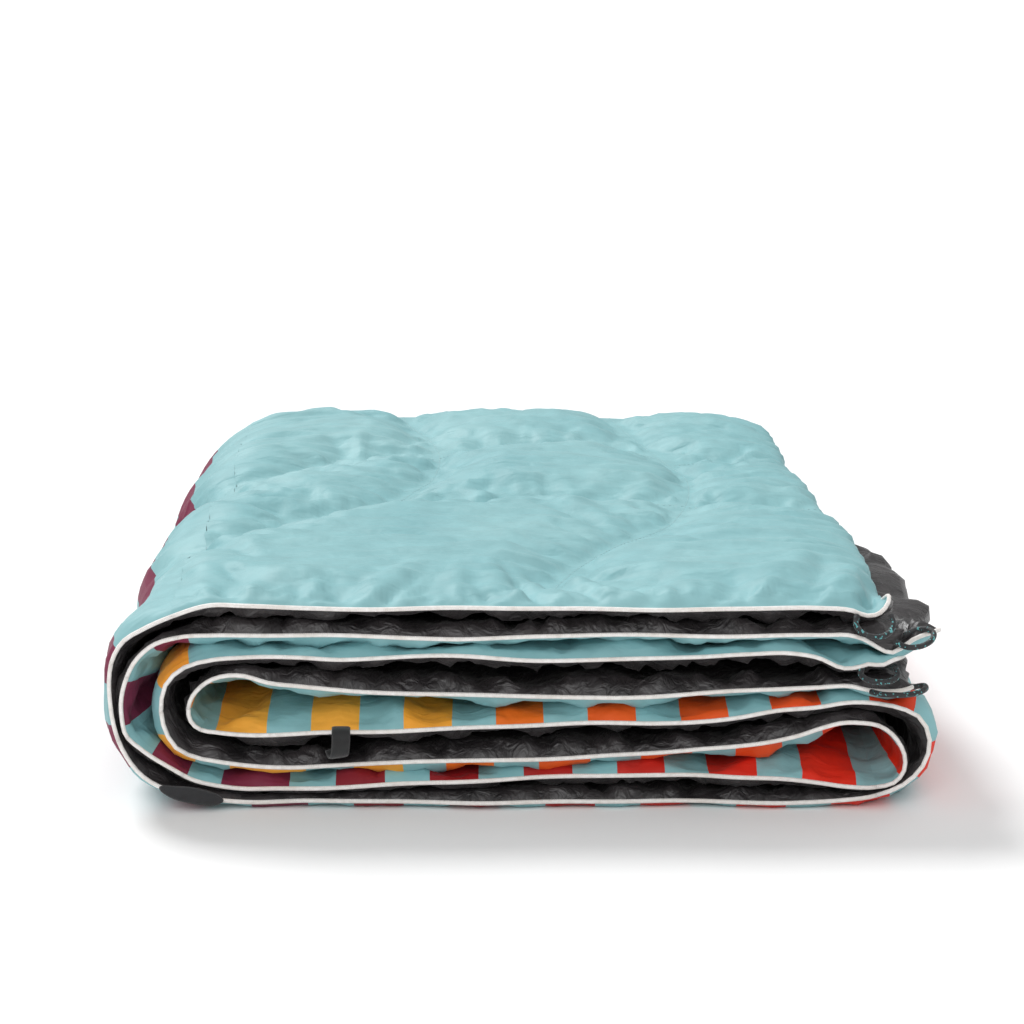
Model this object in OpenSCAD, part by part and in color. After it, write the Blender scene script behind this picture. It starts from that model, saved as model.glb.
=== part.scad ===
// Quilted camp blanket, folded in half three times into a flat pack.
// The blanket is folded along its length first, with its lining inside, so each layer of the pack
// is a pair of sheets joined at the back. The pair then runs: top layer, outer fold on the left,
// bottom layer, right fold, second layer, inner fold on the left, third layer.
// X runs along the pack's width, -Y faces the hems and Z points up. The origin is at the middle
// of the underside. Millimetres.

/* [Pack] */
// Width of the pack between its outermost folds
pack_w = 516; // [480:2:560]
// Depth of the pack from its hems to its back fold
pack_d = 660; // [600:5:720]
// Height of one pair of sheets in the stack
layer_pitch = 34; // [30:0.5:38]
// Clearance between one pair of sheets and the next
layer_gap = 0.3; // [0.2:0.1:0.6]
// Free end of the top layer, measured from the middle of the pack
top_end_x = 238; // [225:1:242]
// Free end of the third layer, measured from the middle of the pack
third_end_x = 242; // [225:1:246]

/* [Folds on the left] */
// Parts that the outer fold is divided into, so that it can open
outer_parts = 4; // [3:1:5]
// Parts that the inner fold is divided into
inner_parts = 3; // [2:1:3]

/* [Sheet] */
// Thickness of the face cloth and of the lining cloth
cloth_t = 0.8; // [0.6:0.1:1.2]
// Gap between the two lining faces inside one pair of sheets
lining_gap = 1.6; // [1:0.2:3]
// Clearance between the insulation and the cloth around it
fill_gap = 0.2; // [0.1:0.05:0.3]

/* [Edge piping] */
// Diameter of the round piping along the hems
piping_d = 4; // [3:0.5:4.5]
// Width of the flat flange that is sewn into the hem
flange_w = 8; // [6:0.5:12]
// Thickness of the flange
flange_t = 0.8; // [0.6:0.1:1]

/* [Webbing tab] */
// Position of the tab along the second layer's upper hem
tab_x = -111; // [-150:1:150]
// Width of the tab
tab_w = 11.5; // [8:0.5:16]
// Length of the tab below the hem's middle
tab_l = 16; // [10:1:24]
// Thickness of the tab's webbing
tab_t = 1; // [0.8:0.1:1.2]

/* [Label] */
// Length of the part of the label that lies on the bottom layer
label_flat_l = 10; // [6:1:20]
// Angle of the outer fold that the rest of the label follows
label_bend = 28; // [10:1:40]
// Depth of the label on each side of the hem
label_d = 6; // [4:0.5:8]
// Thickness of the label
label_t = 0.6; // [0.4:0.1:0.8]

/* [Corner loops] */
// Diameter of the cord of the corner loops
loop_cord_d = 3.6; // [3:0.1:3.8]

/* [Quilting] */
// Width of a line of quilting thread
thread_w = 1; // [0.6:0.1:2]
// Height of the thread above the cloth
thread_h = 0.4; // [0.3:0.1:0.8]
// Swing of the two wavy seams to either side
seam_swing = 32; // [10:1:45]
// Depth of the pack in which a wavy seam repeats
seam_repeat = 560; // [400:10:800]

/* [Hidden] */
cloths = ["face_shell_", "insulation_", "lining_", "piping_"];
stretches = concat(
  ["top_run", "third_run", "second_run", "bottom_run", "right_fold"],
  [for (i = [1:outer_parts]) str("outer_fold_", i)],
  [for (i = [1:inner_parts]) str("inner_fold_", i)]
);

face_color = "#79b0b4";
print_color = "#d8452f";
lining_color = "#1f1d20";
fill_color = "#ece9e2";
piping_color = "#f4f1ec";
webbing_color = "#2a282b";
label_color = "#3a3a3d";
thread_color = "#9cc4c6";

$fn = 64;

// Heights of the layers' middles, and of the axes that the folds bend around
half_t = (layer_pitch - layer_gap) / 2;
bottom_z = half_t;
second_z = bottom_z + layer_pitch;
third_z = second_z + layer_pitch;
top_z = third_z + layer_pitch;
left_z = bottom_z + 1.5 * layer_pitch;
right_z = bottom_z + layer_pitch / 2;

// Bend radii of the folds to the middle of the pair of sheets, and where the folds start
outer_fold_r = 1.5 * layer_pitch;
tight_fold_r = layer_pitch / 2;
left_x = -pack_w / 2 + outer_fold_r + half_t;
right_x = pack_w / 2 - tight_fold_r - half_t;

// Distances of the sheet's own layers from the middle of the pair
face_out = half_t;
face_in = face_out - cloth_t;
lining_in = lining_gap / 2;
lining_out = lining_in + cloth_t;
fill_in = lining_out + fill_gap;
fill_out = face_in - fill_gap;
hem_n = (lining_in + face_out) / 2;

// The rounded hem edge: the sheet's nose, the piping in front of it and the bend at the back
piping_r = piping_d / 2;
tab_clear = 0.3;
nose_r = (face_out - lining_in) / 2;
hem_y = -pack_d / 2 + piping_r + tab_clear + tab_t;
nose_y = hem_y + piping_r + nose_r;
bend_y = pack_d / 2 - half_t;
flange_clear = 0.1;
wall_gap = 0.2;

// Part of the tab that wraps up over the piping, in degrees
tab_wrap = 25;

// Positions of the wavy seams and of the seams across them
wave_x = [-90, 95];
wave_y = [110, 40];
seam_ends_y = [-290, 300];
seam_steps = 40;
cross_y = [130, 165, -45, -45];
cross_x = [[left_x + 12, -70], [-50, 115], [-85, 110], [135, top_end_x - 14]];

// Routes of the corner loops, each from hem to hem
loop_top_upper = [
  [208, -327, 126], [207, -331, 121], [210, -335, 117], [216, -337, 115],
  [222, -337, 115], [227, -335, 117], [230, -331, 121], [229, -327, 126]
];
loop_top_lower = [
  [232, -328, 109], [239, -333, 107], [247, -334, 108], [254, -331, 111],
  [256, -325, 114], [252, -320, 115], [246, -318, 114], [239, -320, 111]
];
loop_third_upper = [
  [212, -327, 92], [211, -331, 89], [214, -335, 87], [220, -337, 86],
  [226, -337, 86], [231, -335, 87], [234, -331, 89], [233, -327, 92]
];
loop_third_lower = [
  [218, -328, 77], [223, -333, 77], [231, -335, 77], [239, -335, 77],
  [247, -333, 78], [252, -328, 79], [252, -322, 79], [243, -320, 77]
];
loop_sides = 8;

// ---- Sections through one pair of sheets: x is the depth, y is the distance from the middle ----

// Two flat sheets joined by a round bend at the back
module sheets(r_in, r_out) {
  for (n = [r_in, -r_out])
    translate([nose_y, n]) square([bend_y - nose_y, r_out - r_in]);
  translate([bend_y, 0])
    intersection() {
      ring(r_in, r_out);
      translate([0, -r_out]) square([r_out, 2 * r_out]);
    }
}

module ring(r_in, r_out) {
  difference() {
    circle(r_out);
    circle(r_in);
  }
}

// The rounded front of both sheets; side is 1 for the face's half and -1 for the lining's
module hem_arcs(r_in, r_out, side) {
  for (sheet = [-1, 1])
    translate([nose_y, sheet * hem_n])
      intersection() {
        difference() {
          circle(r_out);
          if (r_in > 0) circle(r_in);
        }
        translate([-r_out, sheet * side > 0 ? 0 : -r_out]) square([r_out, r_out]);
      }
}

// Room for the piping's flange in the middle of each sheet's hem
module flange_slots() {
  slot_t = flange_t + 2 * flange_clear;
  for (sheet = [-1, 1])
    translate([hem_y, sheet * hem_n - slot_t / 2])
      square([piping_r + flange_w + flange_clear, slot_t]);
}

module face_section() {
  difference() {
    union() {
      sheets(face_in, face_out);
      hem_arcs(nose_r - cloth_t, nose_r, 1);
    }
    flange_slots();
  }
}

module lining_section() {
  difference() {
    union() {
      sheets(lining_in, lining_out);
      hem_arcs(nose_r - cloth_t, nose_r, -1);
    }
    flange_slots();
  }
}

module insulation_section() {
  fill_r = (fill_out - fill_in) / 2;
  difference() {
    union() {
      sheets(fill_in, fill_out);
      hem_arcs(0, fill_r, 1);
      hem_arcs(0, fill_r, -1);
    }
    flange_slots();
  }
}

module piping_section() {
  for (sheet = [-1, 1])
    translate([hem_y, sheet * hem_n]) {
      circle(piping_r);
      translate([0, -flange_t / 2]) square([piping_r + flange_w, flange_t]);
    }
}

// The halves of the wall that closes a layer's free end
module face_end_section() {
  difference() {
    union() {
      sheets(hem_n + wall_gap / 2, face_in);
      hem_arcs(0, nose_r - cloth_t, 1);
    }
    flange_slots();
  }
}

module lining_end_section() {
  difference() {
    union() {
      sheets(lining_out, hem_n - wall_gap / 2);
      hem_arcs(0, nose_r - cloth_t, -1);
    }
    flange_slots();
  }
}

// A strip folded over the hem piping of one sheet, open towards the back
module label_section(sheet) {
  label_in = piping_r + label_t / 2;
  label_out = label_in + label_t;
  translate([hem_y, sheet * hem_n]) {
    intersection() {
      ring(label_in, label_out);
      translate([-label_out, -label_out]) square([label_out, 2 * label_out]);
    }
    for (n = [label_in, -label_out])
      translate([0, n]) square([label_d - 2 * piping_r, label_t]);
  }
}

// ---- Straight stretches and bends of a section ----

module run(x_start, x_end, z) {
  translate([x_start, 0, z])
    rotate([90, 0, 90])
      linear_extrude(height = x_end - x_start) children();
}

// A bend to the left about an axis along Y, at radius r. Its angles count from below the axis
module left_bend(r, from, sweep) {
  translate([left_x, 0, left_z])
    rotate([-90, 0, 0])
      rotate([0, 0, 90 + from])
        rotate_extrude(angle = sweep)
          translate([r, 0]) mirror([1, 0]) rotate(90) children();
}

module outer_fold(part) {
  sweep = 180 / outer_parts;
  left_bend(outer_fold_r, (part - 1) * sweep, sweep) children();
}

module inner_fold(part) {
  sweep = 180 / inner_parts;
  left_bend(tight_fold_r, (part - 1) * sweep, sweep) children();
}

module right_fold() {
  translate([right_x, 0, right_z])
    rotate([-90, 0, 0])
      rotate([0, 0, -90])
        rotate_extrude(angle = 180)
          translate([tight_fold_r, 0]) mirror([1, 0]) rotate(90) children();
}

module bottom_run() { run(left_x, right_x, bottom_z) children(); }
module second_run() { run(left_x, right_x, second_z) children(); }

// ---- Face shell ----

module face_shell_free_run(x_end, z) {
  wall_x = x_end - piping_r - cloth_t;
  run(left_x, wall_x + cloth_t, z) face_section();
  run(wall_x, wall_x + cloth_t, z) face_end_section();
}

module face_shell_top_run() {
  color(face_color) face_shell_free_run(top_end_x, top_z);
}

module face_shell_third_run() {
  color(face_color) face_shell_free_run(third_end_x, third_z);
}

module face_shell_outer_fold(part) { color(face_color) outer_fold(part) face_section(); }
module face_shell_inner_fold(part) { color(face_color) inner_fold(part) face_section(); }
module face_shell_right_fold() { color(print_color) right_fold() face_section(); }
module face_shell_bottom_run() { color(print_color) bottom_run() face_section(); }
module face_shell_second_run() { color(print_color) second_run() face_section(); }

// ---- Insulation ----

module insulation_free_run(x_end, z) {
  color(fill_color)
    run(left_x, x_end - piping_r - cloth_t - fill_gap, z) insulation_section();
}

module insulation_top_run() { insulation_free_run(top_end_x, top_z); }
module insulation_third_run() { insulation_free_run(third_end_x, third_z); }
module insulation_outer_fold(part) { color(fill_color) outer_fold(part) insulation_section(); }
module insulation_inner_fold(part) { color(fill_color) inner_fold(part) insulation_section(); }
module insulation_right_fold() { color(fill_color) right_fold() insulation_section(); }
module insulation_bottom_run() { color(fill_color) bottom_run() insulation_section(); }
module insulation_second_run() { color(fill_color) second_run() insulation_section(); }

// ---- Lining ----

module lining_free_run(x_end, z) {
  wall_x = x_end - piping_r - cloth_t;
  color(lining_color) {
    run(left_x, wall_x + cloth_t, z) lining_section();
    run(wall_x, wall_x + cloth_t, z) lining_end_section();
  }
}

module lining_top_run() { lining_free_run(top_end_x, top_z); }
module lining_third_run() { lining_free_run(third_end_x, third_z); }
module lining_outer_fold(part) { color(lining_color) outer_fold(part) lining_section(); }
module lining_inner_fold(part) { color(lining_color) inner_fold(part) lining_section(); }
module lining_right_fold() { color(lining_color) right_fold() lining_section(); }
module lining_bottom_run() { color(lining_color) bottom_run() lining_section(); }
module lining_second_run() { color(lining_color) second_run() lining_section(); }

// ---- Edge piping ----

// The hem's piping, turned at the corner and carried along the free end and round the back bend
module piping_free_run(x_end, z) {
  color(piping_color) {
    run(left_x, x_end, z) piping_section();
    for (sheet = [-1, 1])
      translate([x_end, hem_y, z + sheet * hem_n]) {
        sphere(piping_r);
        rotate([-90, 0, 0]) cylinder(r = piping_r, h = bend_y - hem_y);
      }
    translate([x_end, bend_y, z])
      rotate([90, 0, 90])
        rotate([0, 0, -90])
          rotate_extrude(angle = 180) translate([hem_n, 0]) circle(piping_r);
  }
}

module piping_top_run() { piping_free_run(top_end_x, top_z); }
module piping_third_run() { piping_free_run(third_end_x, third_z); }
module piping_outer_fold(part) { color(piping_color) outer_fold(part) piping_section(); }
module piping_inner_fold(part) { color(piping_color) inner_fold(part) piping_section(); }
module piping_right_fold() { color(piping_color) right_fold() piping_section(); }
module piping_bottom_run() { color(piping_color) bottom_run() piping_section(); }
module piping_second_run() { color(piping_color) second_run() piping_section(); }

// ---- Corner loops: a round tube swept along its route ----

function unit(v) = v / norm(v);

function tangent(route, i) =
  unit(route[min(i + 1, len(route) - 1)] - route[max(i - 1, 0)]);

function ring_points(route, i) =
  let (along = tangent(route, i),
       side = unit(cross(along, [0, 0.3, 1])),
       up = cross(side, along))
  [for (k = [0:loop_sides - 1])
    route[i] + loop_cord_d / 2 * (cos(360 * k / loop_sides) * side + sin(360 * k / loop_sides) * up)];

module cord(route) {
  last = len(route) - 1;
  points = [for (i = [0:last]) each ring_points(route, i)];
  walls = [for (i = [0:last - 1], k = [0:loop_sides - 1])
    let (a = i * loop_sides + k,
         b = i * loop_sides + (k + 1) % loop_sides)
    each [[a, a + loop_sides, b + loop_sides], [a, b + loop_sides, b]]];
  start_cap = [for (k = [0:loop_sides - 1]) k];
  end_cap = [for (k = [loop_sides - 1:-1:0]) last * loop_sides + k];
  color(webbing_color)
    polyhedron(points = points, faces = concat(walls, [start_cap, end_cap]), convexity = 4);
}

module corner_loop_top_upper() { cord(loop_top_upper); }
module corner_loop_top_lower() { cord(loop_top_lower); }
module corner_loop_third_upper() { cord(loop_third_upper); }
module corner_loop_third_lower() { cord(loop_third_lower); }

// ---- Small parts ----

// Webbing that wraps over the front of the piping and hangs from it
module webbing_tab() {
  wrap_in = piping_r + tab_clear;
  wrap_out = wrap_in + tab_t;
  color(webbing_color)
    translate([tab_x - tab_w / 2, hem_y, second_z + hem_n])
      rotate([90, 0, 90])
        linear_extrude(height = tab_w) {
          intersection() {
            ring(wrap_in, wrap_out);
            polygon([
              [0, 0], [-2 * wrap_out, 0],
              [-2 * wrap_out, 2 * wrap_out * tan(tab_wrap)]
            ]);
          }
          translate([-wrap_out, -tab_l]) square([tab_t, tab_l]);
        }
}

module woven_label() {
  color(label_color) {
    run(left_x, left_x + label_flat_l, bottom_z) label_section(-1);
    left_bend(outer_fold_r, 0, label_bend) label_section(1);
  }
}

// A line of thread that follows points on top of the pack
module seam(points) {
  outline = concat(
    [for (p = points) p + [thread_w / 2, thread_w / 2]],
    [for (i = [len(points) - 1:-1:0]) points[i] - [thread_w / 2, thread_w / 2]]
  );
  translate([0, 0, top_z + half_t]) linear_extrude(height = thread_h) polygon(outline);
}

function wave_point(i, y) =
  [wave_x[i] + seam_swing * cos(360 * (y - wave_y[i]) / seam_repeat), y];

module quilting_thread() {
  seam_step = (seam_ends_y[1] - seam_ends_y[0]) / seam_steps;
  color(thread_color) {
    for (i = [0:len(wave_x) - 1])
      seam([for (y = [seam_ends_y[0]:seam_step:seam_ends_y[1]]) wave_point(i, y)]);
    for (i = [0:len(cross_y) - 1])
      seam([[cross_x[i][0], cross_y[i]], [cross_x[i][1], cross_y[i]]]);
  }
}

face_shell_top_run();
face_shell_bottom_run();
face_shell_right_fold();
face_shell_second_run();
face_shell_third_run();
insulation_top_run();
insulation_bottom_run();
insulation_right_fold();
insulation_second_run();
insulation_third_run();
lining_top_run();
lining_bottom_run();
lining_right_fold();
lining_second_run();
lining_third_run();
piping_top_run();
piping_bottom_run();
piping_right_fold();
piping_second_run();
piping_third_run();
corner_loop_top_upper();
corner_loop_top_lower();
corner_loop_third_upper();
corner_loop_third_lower();
webbing_tab();
woven_label();
quilting_thread();
for (i = [1:outer_parts]) {
  face_shell_outer_fold(i);
  insulation_outer_fold(i);
  lining_outer_fold(i);
  piping_outer_fold(i);
}
for (i = [1:inner_parts]) {
  face_shell_inner_fold(i);
  insulation_inner_fold(i);
  lining_inner_fold(i);
  piping_inner_fold(i);
}
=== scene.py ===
import math
from collections import namedtuple

import bpy
import numpy as np
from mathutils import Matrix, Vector, noise


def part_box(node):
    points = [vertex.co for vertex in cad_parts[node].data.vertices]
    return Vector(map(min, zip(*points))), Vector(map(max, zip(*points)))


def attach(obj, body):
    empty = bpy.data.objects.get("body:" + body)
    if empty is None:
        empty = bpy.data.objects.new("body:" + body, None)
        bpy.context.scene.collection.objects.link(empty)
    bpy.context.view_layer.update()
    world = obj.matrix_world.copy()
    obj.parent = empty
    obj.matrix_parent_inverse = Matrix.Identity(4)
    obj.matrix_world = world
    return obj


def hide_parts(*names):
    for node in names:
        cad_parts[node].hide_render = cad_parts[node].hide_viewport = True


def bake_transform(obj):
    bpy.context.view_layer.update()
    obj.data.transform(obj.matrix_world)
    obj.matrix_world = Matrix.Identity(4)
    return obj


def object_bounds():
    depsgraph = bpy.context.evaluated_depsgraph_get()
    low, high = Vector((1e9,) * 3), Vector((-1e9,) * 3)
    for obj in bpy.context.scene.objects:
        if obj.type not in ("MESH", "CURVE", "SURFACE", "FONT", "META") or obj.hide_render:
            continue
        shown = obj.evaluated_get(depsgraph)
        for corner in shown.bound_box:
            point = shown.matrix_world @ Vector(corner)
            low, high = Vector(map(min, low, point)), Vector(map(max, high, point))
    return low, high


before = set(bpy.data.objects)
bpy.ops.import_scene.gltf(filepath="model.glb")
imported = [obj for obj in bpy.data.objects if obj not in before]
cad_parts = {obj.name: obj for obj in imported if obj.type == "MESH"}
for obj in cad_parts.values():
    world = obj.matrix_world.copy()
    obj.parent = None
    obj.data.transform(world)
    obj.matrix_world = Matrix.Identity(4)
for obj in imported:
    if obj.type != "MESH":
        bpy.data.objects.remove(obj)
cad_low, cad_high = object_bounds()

# ===== Sizes, all from the frame =====


def height_of(node):
    low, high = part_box(node)
    return (low.z + high.z) / 2


LEFT_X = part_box("face_shell_bottom_run")[0].x  # axis of both folds on the left
RIGHT_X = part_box("face_shell_bottom_run")[1].x  # axis of the fold on the right
TOP_END_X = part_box("face_shell_top_run")[1].x
THIRD_END_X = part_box("face_shell_third_run")[1].x
BOTTOM_Z = height_of("face_shell_bottom_run")
SECOND_Z = height_of("face_shell_second_run")
THIRD_Z = height_of("face_shell_third_run")
TOP_Z = height_of("face_shell_top_run")
LEFT_Z = (TOP_Z + BOTTOM_Z) / 2
RIGHT_Z = (SECOND_Z + BOTTOM_Z) / 2
OUTER_R = (TOP_Z - BOTTOM_Z) / 2
TIGHT_R = (SECOND_Z - BOTTOM_Z) / 2
PAIR_HALF = BOTTOM_Z  # half the thickness of a pair of sheets, which lies on the floor
PIPING_R = 0.0014
LINING_GAP = 0.0016  # between the two linings of a pair
HEM_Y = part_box("piping_bottom_run")[0].y + 0.0020
BACK_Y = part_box("face_shell_bottom_run")[1].y
BEND_Y = BACK_Y - PAIR_HALF
SHEET_HALF = (PAIR_HALF - LINING_GAP / 2) / 2
SHEET_OFF = PAIR_HALF - SHEET_HALF  # from the pair's middle to a sheet's middle
BEND_LENGTH = math.pi * SHEET_OFF
SHEET_DEPTH = BEND_Y - HEM_Y
CLOTH_WIDTH = 2 * SHEET_DEPTH + BEND_LENGTH

# The blanket's length in seven stretches, from the end of the top layer to the end of the third
TOP, OUTER, BOTTOM, RIGHT, SECOND, INNER, THIRD = range(7)
STRETCH_LENGTHS = np.array([
    TOP_END_X - LEFT_X,
    math.pi * OUTER_R,
    RIGHT_X - LEFT_X,
    math.pi * TIGHT_R,
    RIGHT_X - LEFT_X,
    math.pi * TIGHT_R,
    THIRD_END_X - LEFT_X,
])
STRETCH_STARTS = np.concatenate([[0], np.cumsum(STRETCH_LENGTHS)])
CLOTH_LENGTH = STRETCH_STARTS[-1]

# ===== Camera =====

scene = bpy.context.scene
camera_data = bpy.data.cameras.new("camera")
camera_data.sensor_width = 36
camera_data.lens = 86.84
camera = bpy.data.objects.new("camera", camera_data)
camera.location = (-0.0118, -1.795, 0.5295)
camera.rotation_euler = (math.radians(90 - 12.97), 0, math.radians(-0.28))
scene.collection.objects.link(camera)
scene.camera = camera

# ===== Corner loops: short free cords, along the same routes as in the CAD model =====

LOOP_CORD_D = 0.0036
LOOP_ROUTES = {
    "corner_loop_top_upper": [
        (0.208, -0.327, 0.126), (0.207, -0.331, 0.121), (0.210, -0.335, 0.117), (0.216, -0.337, 0.115),
        (0.222, -0.337, 0.115), (0.227, -0.335, 0.117), (0.230, -0.331, 0.121), (0.229, -0.327, 0.126),
    ],
    "corner_loop_top_lower": [
        (0.232, -0.328, 0.109), (0.239, -0.333, 0.107), (0.247, -0.334, 0.108), (0.254, -0.331, 0.111),
        (0.256, -0.325, 0.114), (0.252, -0.320, 0.115), (0.246, -0.318, 0.114), (0.239, -0.320, 0.111),
    ],
    "corner_loop_third_upper": [
        (0.212, -0.327, 0.092), (0.211, -0.331, 0.089), (0.214, -0.335, 0.087), (0.220, -0.337, 0.086),
        (0.226, -0.337, 0.086), (0.231, -0.335, 0.087), (0.234, -0.331, 0.089), (0.233, -0.327, 0.092),
    ],
    "corner_loop_third_lower": [
        (0.218, -0.328, 0.077), (0.223, -0.333, 0.077), (0.231, -0.335, 0.077), (0.239, -0.335, 0.077),
        (0.247, -0.333, 0.078), (0.252, -0.328, 0.079), (0.252, -0.322, 0.079), (0.243, -0.320, 0.077),
    ],
}
LOOP_BODIES = {"top": "top_layer", "third": "third_layer"}


def smooth(x):
    x = np.clip(x, 0, 1)
    return x * x * (3 - 2 * x)


def through(stations, values, at):
    """A smooth curve through values at their stations, read at the places asked for."""
    slopes = np.gradient(values, stations, axis=0)
    k = np.clip(np.searchsorted(stations, at) - 1, 0, len(stations) - 2)
    width = stations[k + 1] - stations[k]
    f = np.clip((at - stations[k]) / width, 0, 1)
    if values.ndim > 1:
        f, width = f[..., None], width[..., None]
    start, end = values[k], values[k + 1]
    rise = 2 * f**3 - 3 * f**2 + 1
    return (
        rise * start
        + (1 - rise) * end
        + (f**3 - 2 * f**2 + f) * width * slopes[k]
        + (f**3 - f**2) * width * slopes[k + 1]
    )


def unit(vectors):
    return vectors / np.linalg.norm(vectors, axis=-1, keepdims=True)


def distances(points):
    """How far along a line each of its points lies."""
    return np.concatenate([[0], np.cumsum(np.linalg.norm(np.diff(points, axis=0), axis=1))])


def rounded_route(route, steps):
    """The points of a smooth line through a route."""
    points = np.array(route)
    stations = distances(points)
    return through(stations, points, np.linspace(0, stations[-1], steps))


def corner_loop(name, route, material):
    line = rounded_route(route, 32)
    data = bpy.data.curves.new(name, "CURVE")
    data.dimensions = "3D"
    data.bevel_depth = LOOP_CORD_D / 2
    data.bevel_resolution = 4
    data.use_fill_caps = True
    spline = data.splines.new("POLY")
    spline.points.add(len(line) - 1)
    spline.points.foreach_set("co", np.hstack([line, np.ones((len(line), 1))]).ravel())
    data.materials.append(material)
    piece = bpy.data.objects.new(name + "_cord", data)
    scene.collection.objects.link(piece)
    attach(piece, LOOP_BODIES[name.split("_")[2]])
    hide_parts(name)


# ===== Materials =====


def srgb(text):
    """A colour socket's value from a hexadecimal colour."""
    parts = [int(text[i:i + 2], 16) / 255 for i in (0, 2, 4)]
    return [p / 12.92 if p <= 0.04045 else ((p + 0.055) / 1.055) ** 2.4 for p in parts] + [1]


class Nodes:
    """A material's node tree, and short ways to add to it."""

    def __init__(self, name):
        self.material = bpy.data.materials.new(name)
        self.material.use_nodes = True
        self.tree = self.material.node_tree
        self.shader = self.tree.nodes["Principled BSDF"]

    def add(self, kind, inputs=None, **settings):
        node = self.tree.nodes.new(kind)
        for key, value in settings.items():
            setattr(node, key, value)
        self.feed(node, inputs or {})
        return node

    def feed(self, node, inputs):
        for key, value in inputs.items():
            if isinstance(value, bpy.types.NodeSocket):
                self.tree.links.new(value, node.inputs[key])
            else:
                node.inputs[key].default_value = value

    def math(self, operation, a, b=0.0):
        return self.add("ShaderNodeMath", {0: a, 1: b}, operation=operation).outputs[0]

    def flat(self):
        """Where a point lies on the flat cloth, in metres along and across."""
        return self.add("ShaderNodeAttribute", attribute_name="flat").outputs["Vector"]

    def place(self):
        return self.add("ShaderNodeTexCoord").outputs["Object"]

    def scaled(self, vector, x, y, z):
        return self.add("ShaderNodeMapping", {"Vector": vector, "Scale": (x, y, z)}).outputs[0]

    def noise(self, vector, scale, detail=2.0, distortion=0.0):
        inputs = {"Vector": vector, "Scale": scale, "Detail": detail, "Distortion": distortion}
        return self.add("ShaderNodeTexNoise", inputs).outputs["Fac"]

    def ramp(self, value, stops, interpolation="LINEAR"):
        node = self.add("ShaderNodeValToRGB", {"Fac": value})
        ramp = node.color_ramp
        ramp.interpolation = interpolation
        while len(ramp.elements) < len(stops):
            ramp.elements.new(1)
        for element, (place, colour) in zip(ramp.elements, stops):
            element.position = place
            element.color = colour
        return node.outputs["Color"]

    def grey(self, value, low, high):
        """A value from 0 to 1, spread from low to high."""
        inputs = {"Value": value, "To Min": low, "To Max": high}
        return self.add("ShaderNodeMapRange", inputs).outputs["Result"]

    def mix(self, factor, a, b, blend="MIX"):
        inputs = {0: factor, 6: a, 7: b}
        return self.add("ShaderNodeMix", inputs, data_type="RGBA", blend_type=blend).outputs[2]

    def sine(self, value, wavelength):
        return self.math("SINE", self.math("MULTIPLY", value, 2 * math.pi / wavelength))

    def axes(self, vector):
        return self.add("ShaderNodeSeparateXYZ", {"Vector": vector}).outputs

    def weave(self, vector, pitch):
        """Height of a plain weave, as a share; its threads repeat at that pitch, in metres."""
        along, across, _ = self.axes(vector)
        return self.math("MULTIPLY", self.sine(along, pitch), self.sine(across, pitch))

    def bump(self, height, strength, distance, normal=None):
        inputs = {"Height": height, "Strength": strength, "Distance": distance}
        if normal is not None:
            inputs["Normal"] = normal
        return self.add("ShaderNodeBump", inputs).outputs["Normal"]

    def finish(self, colour, roughness, normal, **sockets):
        self.feed(self.shader, {"Base Color": colour, "Roughness": roughness, "Normal": normal})
        for key, value in sockets.items():
            self.shader.inputs[key.replace("_", " ")].default_value = value
        return self.material


# Where the printed bars lie: the stations of their middles on each sheet, from bar 0 to bar 19
BARS_ONE = [1.369, 1.644, 1.919, 2.101, 2.246, 2.391, 2.536, 2.680, 2.825, 2.968, 3.400, 3.890, 4.126, 4.263,
            4.403, 4.541, 4.679, 4.819, 4.957, 5.715]
BARS_TWO = [1.130, 1.486, 1.818, 2.073, 2.220, 2.360, 2.503, 2.643, 2.780, 2.923, 3.480, 4.053, 4.184, 4.320,
            4.478, 4.618, 4.754, 4.903, 5.190, 5.800]
BAR_COLOURS = [
    "7b2c48", "7b2c48", "7a2a44", "7a2a44", "86202c", "951f25", "a82320", "c0281e", "d82c1c", "e4301c",
    "ea341c", "ec441e", "ec521e", "ec5a1e", "ec5e1e", "ee701e", "f8a838", "f9ae40", "f9ae40", "f6a038",
]
BAR_SHARE = 0.52  # of the pitch
# Edges of bars that are narrower or wider than their neighbours: station and bar number
EDGES_ONE = [(3.769, 10.74), (4.016, 11.26), (4.995, 18.26), (5.50, 18.74), (5.93, 19.26)]
EDGES_TWO = [(2.965, 9.26), (4.013, 10.74), (4.088, 11.26), (5.86, 19.26)]
TEALS = {"light": srgb("9ac6c9"), "deep": srgb("76acb2")}


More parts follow.
